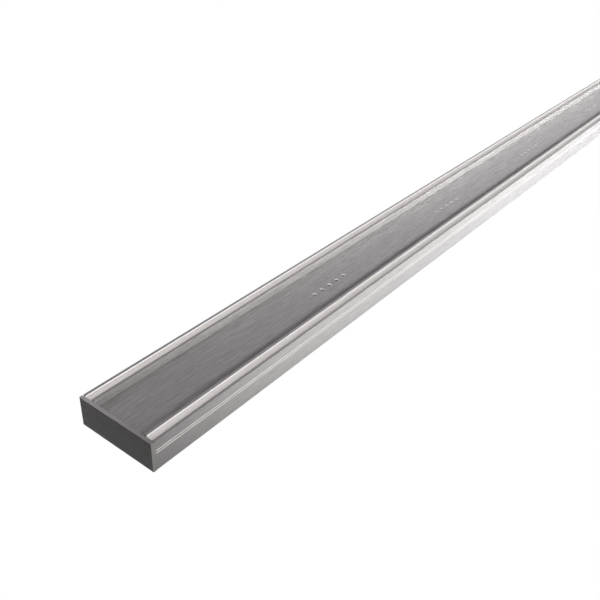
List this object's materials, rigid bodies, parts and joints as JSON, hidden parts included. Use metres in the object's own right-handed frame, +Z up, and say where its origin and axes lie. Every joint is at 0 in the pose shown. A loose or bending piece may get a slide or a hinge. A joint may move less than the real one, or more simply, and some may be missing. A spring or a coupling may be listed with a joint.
{
  "type": "channel drain",
  "caption": "Long low linear channel drain with plain end plates, a lift-out recessed tray for a cut tile, a slot along each side and small weep holes in the tray floor.",
  "frame": {"origin": "on the underside, at the middle of the length and of the width", "axes": "+X along the drain towards the far end, +Y across it to the left, +Z up out of the tile recess"},
  "size_m": [1.5, 0.1012, 0.035],
  "materials": {
    "channel_metal": "brushed along the length",
    "plate_metal": "brushed across the width",
    "tray_metal": "brushed along the length",
    "support_plastic": "moulded, matte",
    "ring_metal": "turned, satin"
  },
  "bodies": {
    "root": {"channel_body": "channel_metal", "end_plate_near": "plate_metal", "end_plate_far": "plate_metal", "tile_tray": "tray_metal", "outlet_ring": "ring_metal", "tray_support_left_1": "support_plastic", "tray_support_right_1": "support_plastic", "tray_support_left_2": "support_plastic", "tray_support_right_2": "support_plastic", "tray_support_left_3": "support_plastic", "tray_support_right_3": "support_plastic", "tray_support_left_4": "support_plastic", "tray_support_right_4": "support_plastic", "tray_support_left_5": "support_plastic", "tray_support_right_5": "support_plastic", "tray_support_left_6": "support_plastic", "tray_support_right_6": "support_plastic"}
  },
  "joints": []
}
